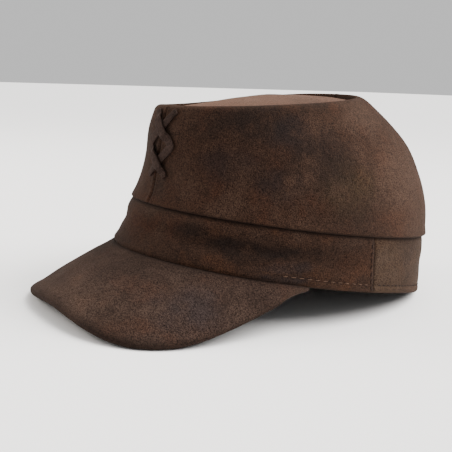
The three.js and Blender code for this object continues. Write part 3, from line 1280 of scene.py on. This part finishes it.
    def stitch(self, name: str) -> Piece:
        """Models one stitch along X, a short bead of thread.

        Args:
            name: Name of the bead.

        Returns:
            The bead.
        """
        Bench.start(name)
        bpy.ops.mesh.primitive_uv_sphere_add(segments=8, ring_count=6, radius=1.0, location=(0, 0, 0))
        piece = bpy.context.object
        size = (self.stitch_length / 2 * MM, self.stitch_width / 2 * MM, self.stitch_width * 0.4 * MM)
        with Bench.editing():
            bpy.ops.transform.resize(value=size, center_override=(0, 0, 0))
        return piece

    def row(self, name: str, places: Sequence[tuple[Vector, Vector, Vector]]) -> Piece:
        """Copies the stitch to each place and joins the copies.

        Args:
            name: Name of the row.
            places: Centre, direction along the row and direction out of the band, in the level cap.

        Returns:
            The joined row.
        """
        shape = self.pattern
        model = self.stitch(name)
        copies = []
        for centre, along, out in places:
            copy = model.copy()
            copy.data = model.data.copy()
            bpy.context.collection.objects.link(copy)
            x = shape.turned(along).normalized()
            z = shape.turned(out)
            z = (z - x * z.dot(x)).normalized()
            axes = Matrix((x, z.cross(x), z)).transposed().to_4x4()
            copy.data.transform(Matrix.Translation(shape.placed(centre)) @ axes)
            copies.append(copy)
        bpy.data.objects.remove(model)
        bpy.ops.object.select_all(action="DESELECT")
        for copy in copies:
            copy.select_set(True)
        bpy.context.view_layer.objects.active = copies[0]
        bpy.ops.object.join()
        joined = bpy.context.object
        joined.name = name
        joined.data.name = name
        return joined

    def hem_places(self, row: HemRow) -> list:
        """Places of the stitches of one row along the hem.

        Args:
            row: The row.

        Returns:
            Centre, direction along and direction out for each stitch.
        """
        shape = self.pattern
        places = []
        angle = row.start
        step = 0.01
        while angle < row.end:
            turn = math.radians(angle)
            rise = self.hem_groove.centre / (shape.base_height(turn) - shape.seam_gap)
            here = self.face(turn, rise)
            along = self.face(turn + step, rise) - here
            out = shape.hem.outward(turn)
            lean = Vector((0, 0, self.stitch_lean * math.sin(angle * self.lean_turns)))
            centre = here + out * (self.stitch_proud - row.sink)
            centre.y += row.part.value * shape.seam_gap / 2
            places.append((centre, along.normalized() + lean, out))
            angle += math.degrees(row.pitch * step / along.length)
        return places

    def seam_places(self, side: Side) -> list:
        """Places of the upright stitches in front of a side seam.

        Args:
            side: Wearer's side.

        Returns:
            Centre, direction along and direction out for each stitch.
        """
        shape = self.pattern
        places = []
        height = self.seam_stitch_start
        step = 0.02
        while height < self.seam_stitch_end:
            rise = height / (shape.base_height(math.pi / 2) - shape.seam_gap)
            turn = side.value * (shape.band_seam(rise) - self.seam_stitch_inset / shape.hem.front)
            here = self.face(turn, rise)
            up = self.face(turn, rise + step) - here
            out = shape.hem.outward(turn)
            here.y -= shape.seam_gap / 2
            places.append((here + out * self.seam_stitch_proud, up, out))
            height += self.seam_stitch_pitch
        return places

    def build(self) -> None:
        """Makes both panels and their stitches and dresses them."""
        suede = self.finish.material()
        Bench.finish(self.panel("band_panel_front", End.FRONT), suede, "band_front", "band_front")
        olive = self.back_finish.material()
        Bench.finish(self.panel("band_panel_back", End.REAR), olive, "band_back", "band_back")
        front = [place for row in self.front_rows for place in self.hem_places(row)]
        Bench.finish(self.row("hem_stitches_front", front), self.thread.material(), "band_front")
        seams = [place for side in Side for place in self.seam_places(side)]
        dark = self.dark_thread.material()
        Bench.finish(self.row("side_seam_stitches", seams), dark, "band_front")
        Bench.finish(self.row("hem_stitches_back", self.hem_places(self.back_row)), dark, "band_back")


@dataclass
class Peak:
    """The peak: suede over a stiffener, with a rolled edge."""

    pattern: Pattern
    upper: int = 30
    rolled: int = 8
    along: int = 120
    crowding: float = 0.35
    ripple: Ripple = Ripple(24.0, 0.9, 10.0, 0.2)
    calm: Calm = (0.1, 0.35, 0.75, 1.0)
    end_calm: Marks = (0.8, 0.95)
    lift_fade: Marks = (0.02, 0.14)
    row_crowding: float = 1.3
    root_painted_shadow: float = 0.85
    root_fade: Marks = (0.4, 3.6)
    edge_painted_shade: float = 0.6
    edge_fade: Marks = (-1.0, 6.0)
    edge_fullness: float = 0.7
    full_until: Marks = (0.8, 0.97)
    swell_fade: Marks = (0.5, 7.0)
    root_lift: float = 0.6
    finish: Suede = Suede(
        "peak suede",
        rgb(0.026, 0.0155, 0.0116), rgb(0.0192, 0.0118, 0.0089), rgb(0.0324, 0.0163, 0.0112),
        rgb(0.0367, 0.0235, 0.0176),
        (
            Stain(65.4, -78.3, 15.9, 22.0, 12.0, Tone.SLATE, 0.85),
            Stain(78.4, -62.9, 9.4, 12.0, 7.0, Tone.INK_AND_SHADE, 0.45),
            Stain(78.0, -52.0, 18.0, 26.0, 16.0, Tone.SOOT_AND_SHADE, 0.4),
            Stain(44.0, -70.0, 30.0, 24.0, 7.0, Tone.SOOT_AND_SHADE, 0.4),
            Stain(-50.0, -100.0, 12.0, 22.0, 10.0, Tone.SOOT_AND_SHADE, 0.4),
            Stain(12.0, -116.0, 12.0, 40.0, 14.0, Tone.DUST_AND_LIGHT, 0.36),
            Stain(-18.0, -108.0, 15.0, 10.0, 6.0, Tone.SOOT_AND_SHADE, 0.45),
            Stain(22.0, -104.0, 16.0, 12.0, 5.0, Tone.SOOT_AND_SHADE, 0.35),
            Stain(48.0, -108.0, 8.0, 16.0, 6.0, Tone.RUST, 0.35),
        ),
        8.9,
    )

    def soft_face(self, share: float, reach: float) -> Vector:
        """Upper face with the slight unevenness of the suede.

        Args:
            share: Place along the peak, from -1 to 1.
            reach: Share of the way out.

        Returns:
            The place in the level cap.
        """
        point = self.pattern.peak_face(share, reach)
        calm = plateau(reach, *self.calm) * (1 - smooth(abs(share), *self.end_calm))
        point.z += self.ripple.at(point) * calm
        point.z += self.root_lift * (1 - smooth(reach, *self.lift_fade))
        return point

    def span(self, share: float) -> tuple[float, float, float, float]:
        """Sizes of the section at a place along the peak.

        Args:
            share: Place along the peak, from -1 to 1.

        Returns:
            Thickness, depth, share of the depth before the rolled edge, and the edge's fullness.
        """
        shape = self.pattern
        thick = shape.peak_thickness_at(share)
        depth = (shape.peak_face(share, 1.0) - shape.peak_face(share, 0.0)).length
        full = self.edge_fullness * (1 - smooth(abs(share), *self.full_until))
        return thick, depth, 1 - thick / 2 / max(depth, thick), full

    def upper_spot(self, share: float, way: float) -> Spot:
        """Spot on the upper face.

        Args:
            share: Place along the peak, from -1 to 1.
            way: Even share of the way from the root to the rolled edge.

        Returns:
            The spot in the level cap.
        """
        _, depth, last, full = self.span(share)
        reach = last * (1 - (1 - way) ** self.row_crowding)
        back = (last - reach) * depth
        # Painted shadow under the band's hem at the root, and painted shade towards the rolled edge
        near = (1 - smooth(reach * depth, *self.root_fade)) * self.root_painted_shadow
        edge = (1 - smooth(back, *self.edge_fade)) * self.edge_painted_shade
        swell = self.pattern.peak_down(share, reach) * full * (1 - smooth(back, *self.swell_fade))
        return self.soft_face(share, reach) - swell, max(near, edge)

    def rolled_spot(self, share: float, turn: float) -> Spot:
        """Spot on the rolled edge.

        Args:
            share: Place along the peak, from -1 to 1.
            turn: Angle round the roll, from the upper face.

        Returns:
            The spot in the level cap.
        """
        shape = self.pattern
        thick, _, last, full = self.span(share)
        down = shape.peak_down(share, last)
        out = (shape.peak_face(share, 1.0) - shape.peak_face(share, 0.9)).normalized()
        out = (out - down * out.dot(down)).normalized()
        centre = self.soft_face(share, last) + down * thick / 2
        radius = thick / 2 + full
        place = centre - down * math.cos(turn) * radius + out * math.sin(turn) * (radius - full * 0.5)
        # Painted shade on the rolled edge, darker as it turns under
        return place, 0.55 + 0.25 * smooth(turn, 0.6, 2.0)

    def lower_spot(self, share: float, way: float) -> Spot:
        """Spot on the lower face.

        Args:
            share: Place along the peak, from -1 to 1.
            way: Even share of the way from the rolled edge to the root.

        Returns:
            The spot in the level cap.
        """
        thick, depth, last, full = self.span(share)
        reach = last * (1 - way)
        swell = full * (1 - smooth((last - reach) * depth, *self.swell_fade))
        return self.soft_face(share, reach) + self.pattern.peak_down(share, reach) * (thick + swell), 0.0

    def section(self, share: float, index: int) -> Spot:
        """Spot on the closed section across the peak.

        Args:
            share: Place along the peak, from -1 to 1.
            index: Point of the section, from the root over the edge and back below.

        Returns:
            The spot in the level cap.
        """
        shape = self.pattern
        angle = math.radians(share * shape.peak_end_angle)
        root = shape.hem_point(angle) - shape.hem.outward(angle) * shape.leather
        root.z += self.root_lift - shape.seam_gap
        below = index - self.upper - self.rolled
        # Painted shade at the root under the band's hem, and on the closed inner end
        if index == 0:
            return root, 0.8
        if index <= self.upper:
            return self.upper_spot(share, (index - 1) / (self.upper - 1))
        if below < 0:
            return self.rolled_spot(share, (index - self.upper) / self.rolled * math.pi)
        if below < self.upper:
            return self.lower_spot(share, below / (self.upper - 1))
        return root - Vector((0, 0, shape.peak_thickness_at(share))), 0.5

    def build(self) -> None:
        """Makes the peak and dresses it."""
        shape = self.pattern
        around = 1 + self.upper + self.rolled + self.upper
        piece = Bench.tube("peak_body", around, self.along, True)

        def settled(angle: float, row: int) -> Spot:
            """Spot on the peak by section and share.

            Args:
                angle: Angle of the tube's vertex.
                row: Row along the peak.

            Returns:
                The spot in the level cap.
            """
            index = round((angle % TURN) / TURN * around + 0.25) % around
            even = 2 * row / self.along - 1
            share = self.crowding * math.sin(even * math.pi / 2) + (1 - self.crowding) * even
            return self.section(share * shape.peak_end_share, index)

        Bench.settle(piece, shape, settled)
        Bench.mend()
        Bench.finish(piece, self.finish.material(), "peak", "peak")


@dataclass(frozen=True)
class LaceStop:
    """A stop on a thong's way: across in half spans, up the front in millimetres, lift in layers."""

    across: float
    up: float
    lift: float


@dataclass
class Lace:
    """Two flat thongs that cross twice over the crown's front seam."""

    pattern: Pattern
    width: float = 5.2
    thickness: float = 1.4
    tension: float = 0.3
    half_span: float = 10.5
    length: float = 60.0
    narrow_end: float = 0.76
    taper: Marks = (2.0, 12.0)
    round_end: float = 2.6
    flatness: float = 0.45
    tangent_step: float = 0.012
    lift_over: Marks = (0.3, 0.66)
    around: int = 16
    steps: int = 90
    under_first: tuple[LaceStop, ...] = (
        LaceStop(1.0, 53.0, 0.0),
        LaceStop(0.1, 43.5, 0.0),
        LaceStop(-1.0, 34.0, 0.0),
        LaceStop(0.0, 24.5, 1.0),
        LaceStop(0.85, 16.0, 0.0),
    )
    over_first: tuple[LaceStop, ...] = (
        LaceStop(-0.75, 53.0, 0.0),
        LaceStop(0.1, 43.5, 1.0),
        LaceStop(1.0, 34.0, 0.0),
        LaceStop(0.0, 24.5, 0.0),
        LaceStop(-0.8, 16.0, 0.0),
    )
    finish: Suede = Suede(
        "lace leather",
        rgb(0.0205, 0.0124, 0.0102), rgb(0.0148, 0.009, 0.0073), rgb(0.0246, 0.0132, 0.0102),
        rgb(0.03, 0.0198, 0.0162), (), 12.4, 0.6,
    )

    def place(self, stops: Sequence[LaceStop], share: float, offset: float, height: float) -> Vector:
        """Place on a thong.

        Args:
            stops: The thong's way.
            share: Place along it, from 0 to 1.
            offset: Distance across it from its middle line.
            height: Height above its lower face.

        Returns:
            The place in the level cap.
        """
        shape = self.pattern
        rows = [(stop.across * self.half_span, stop.up, stop.lift) for stop in stops]
        x, up, lift = spline(rows, share, self.tension)
        before = spline(rows, share - self.tangent_step, self.tension)
        after = spline(rows, share + self.tangent_step, self.tension)
        tangent = Vector((after[0] - before[0], after[1] - before[1], 0)).normalized()
        x -= tangent.y * offset
        up += tangent.x * offset
        rise = min(1.0, max(0.0, up / shape.wall_height(0.0)))
        angle = x / shape.crown_oval(rise).half
        over = smooth(lift, *self.lift_over) * (self.thickness + shape.seam_gap)
        return shape.soft_crown(angle, rise, -(shape.seam_gap + over + height))

    def thong(self, name: str, stops: Sequence[LaceStop]) -> Piece:
        """Models one thong with rounded edges and ends.

        Args:
            name: Name of the piece.
            stops: The thong's way.

        Returns:
            The finished mesh object.
        """
        piece = Bench.tube(name, self.around, self.steps, True)

        def settled(angle: float, row: int) -> Spot:
            """Spot on the thong's rounded section.

            Args:
                angle: Angle of the tube's vertex.
                row: Row along the thong.

            Returns:
                The spot in the level cap.
            """
            share = row / self.steps
            end = min(share, 1 - share) * self.length
            taper = self.narrow_end + (1 - self.narrow_end) * smooth(end, *self.taper)
            wide = self.width / 2 * taper * math.sqrt(1 - (1 - min(1.0, end / self.round_end + 0.3)) ** 2)
            c, s = math.cos(angle), math.sin(angle)
            offset = wide * math.copysign(abs(c) ** self.flatness, c)
            height = self.thickness / 2 * (1 + math.copysign(abs(s) ** 0.5, s) * (1 - 0.12 * abs(c)))
            # Painted shade: dark on the thong's underside, and a little at its edges
            mask = 0.75 if height < 0.35 else 0.12 * smooth(abs(offset) / self.width * 2, 0.85, 1.0)
            return self.place(stops, share, offset, height), mask

        Bench.settle(piece, self.pattern, settled)
        Bench.mend()
        return piece

    def build(self) -> None:
        """Makes both thongs and dresses them."""
        leather = self.finish.material()
        under = self.thong("thong_under_first", self.under_first)
        Bench.finish(under, leather, "lace_under_first", "lace_under_first")
        over = self.thong("thong_over_first", self.over_first)
        Bench.finish(over, leather, "lace_over_first", "lace_over_first")


@dataclass(frozen=True)
class Lamp:
    """A soft studio light: name, place in metres, side in metres, power in watts and colour."""

    name: str
    place: Triple
    size: float
    power: float
    colour: Triple


@dataclass
class Studio:
    """A pale floor, soft lights and the camera at the photograph's angle.

    The camera's distance and target are millimetres of the level cap, the rest is in metres.
    """

    pattern: Pattern
    azimuth: float = 54.09
    elevation: float = 5.67
    roll: float = 9.03
    distance: float = 459.77
    lens_share: float = 754.62 / 452
    target_y: float = -38.54
    target_z: float = 19.7
    floor_size: float = 30.0
    floor_drop: float = 0.0004
    aim_height: float = 0.06
    sensor: float = 36.0
    world_strength: float = 0.7
    sun_azimuth: float = 147.0
    sun_elevation: float = 46.0
    sun_softness: float = 50.0
    sun_strength: float = 8.5
    sun_colour: Triple = (1.0, 0.97, 0.94)
    lamps: tuple[Lamp, ...] = (
        Lamp("top light", (0.1, 0.35, 1.3), 1.1, 12.0, (1.0, 0.98, 0.95)),
        Lamp("front light", (-1.0, -0.85, 0.75), 0.8, 15.0, (1.0, 0.92, 0.84)),
    )

    def floor(self) -> None:
        """Lays a wide pale floor under the cap."""
        Bench.start("floor")
        bpy.ops.mesh.primitive_plane_add(size=self.floor_size, location=(0, 0, -self.floor_drop))
        plane = bpy.context.object
        plane.name = "floor"
        shade = rgb(0.86, 0.86, 0.86)
        plane.data.materials.append(Dye("pale floor").surface({"Base Color": shade, "Roughness": 0.9}))

    @staticmethod
    def towards(azimuth: float, elevation: float) -> Vector:
        """Direction to a place seen at an azimuth from the front and an elevation, in degrees."""
        turn, rise = math.radians(azimuth), math.radians(elevation)
        return Vector((math.sin(turn) * math.cos(rise), -math.cos(turn) * math.cos(rise), math.sin(rise)))

    @staticmethod
    def hang(data: bpy.types.ID, placement: Matrix) -> Piece:
        """Puts a light or a camera into the scene.

        Args:
            data: The light's or camera's data.
            placement: Its matrix in the scene.

        Returns:
            The new object.
        """
        item = bpy.data.objects.new(data.name, data)
        item.matrix_world = placement
        bpy.context.scene.collection.objects.link(item)
        return item

    def lights(self) -> None:
        """Hangs the soft lights and sets the pale surroundings."""
        for lamp in self.lamps:
            data = bpy.data.lights.new(lamp.name, "AREA")
            data.size = lamp.size
            data.energy = lamp.power
            data.color = lamp.colour
            aim = Vector((0, 0, self.aim_height)) - Vector(lamp.place)
            turned = aim.to_track_quat("-Z", "Y").to_matrix().to_4x4()
            self.hang(data, Matrix.Translation(lamp.place) @ turned)
        data = bpy.data.lights.new("window light", "SUN")
        data.energy = self.sun_strength
        data.angle = math.radians(self.sun_softness)
        data.color = self.sun_colour
        sun = self.towards(self.sun_azimuth, self.sun_elevation)
        self.hang(data, sun.to_track_quat("Z", "Y").to_matrix().to_4x4())
        world = bpy.data.worlds.new("pale room")
        world.use_nodes = True
        background = world.node_tree.nodes["Background"]
        background.inputs[0].default_value = (1, 1, 1, 1)
        background.inputs[1].default_value = self.world_strength
        bpy.context.scene.world = world

    def camera(self) -> None:
        """Sets the camera where the photograph was taken from."""
        roll = math.radians(self.roll)
        back = self.towards(self.azimuth, self.elevation)
        right = self.towards(self.azimuth + 90, 0.0)
        up = back.cross(right)
        level = right * math.cos(roll) + up * math.sin(roll)
        upright = up * math.cos(roll) - right * math.sin(roll)
        eye = Vector((0, self.target_y, self.target_z)) + back * self.distance
        shape = self.pattern
        axes = Matrix([shape.turned(axis) for axis in (level, upright, back)]).transposed()
        data = bpy.data.cameras.new("camera")
        data.sensor_width = self.sensor
        data.lens = self.sensor * self.lens_share
        data.clip_start = 0.01
        camera = self.hang(data, Matrix.Translation(shape.placed(eye)) @ axes.to_4x4())
        bpy.context.scene.camera = camera

    def build(self) -> None:
        """Sets up the whole studio."""
        self.floor()
        self.lights()
        self.camera()


def main() -> None:
    """Builds the cap piece by piece and sets up the studio."""
    logging.basicConfig(level=logging.INFO, format="%(name)s: %(message)s")
    pattern = Pattern()
    for assembly in (Crown(pattern), Band(pattern), Peak(pattern), Lace(pattern), Studio(pattern)):
        assembly.build()
        LOG.info("%s is done", type(assembly).__name__)


if __name__ == "__main__":
    main()
